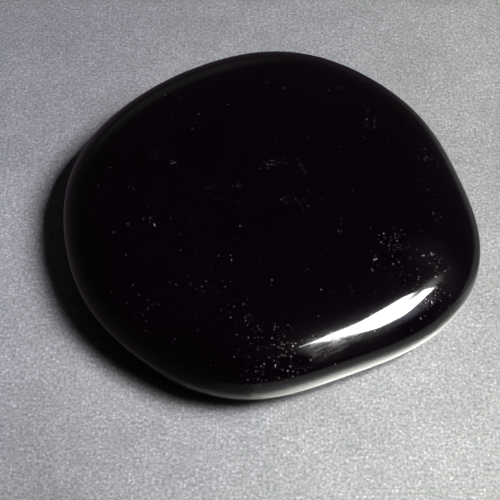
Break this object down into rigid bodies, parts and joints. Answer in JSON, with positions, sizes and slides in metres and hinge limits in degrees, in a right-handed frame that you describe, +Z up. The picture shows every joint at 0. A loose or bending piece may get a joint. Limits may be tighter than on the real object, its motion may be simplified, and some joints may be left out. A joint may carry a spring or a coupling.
{
  "type": "polished obsidian slab",
  "caption": "Flat tumbled palm stone of black obsidian with a gently crowned mirror-polished top, full round rim and a flat underside to rest on.",
  "frame": {"origin": "on the surface that the stone rests on, under the middle of its outline", "axes": "+Z up through the thin direction; +Y across the stone, away from the straight stretch of rim; +X to its right"},
  "size_m": [0.0526, 0.0546, 0.0103],
  "materials": {
    "obsidian": "mirror-polished black volcanic glass with sparse pale specks"
  },
  "bodies": {
    "root": {"obsidian_slab": "obsidian"}
  },
  "joints": []
}
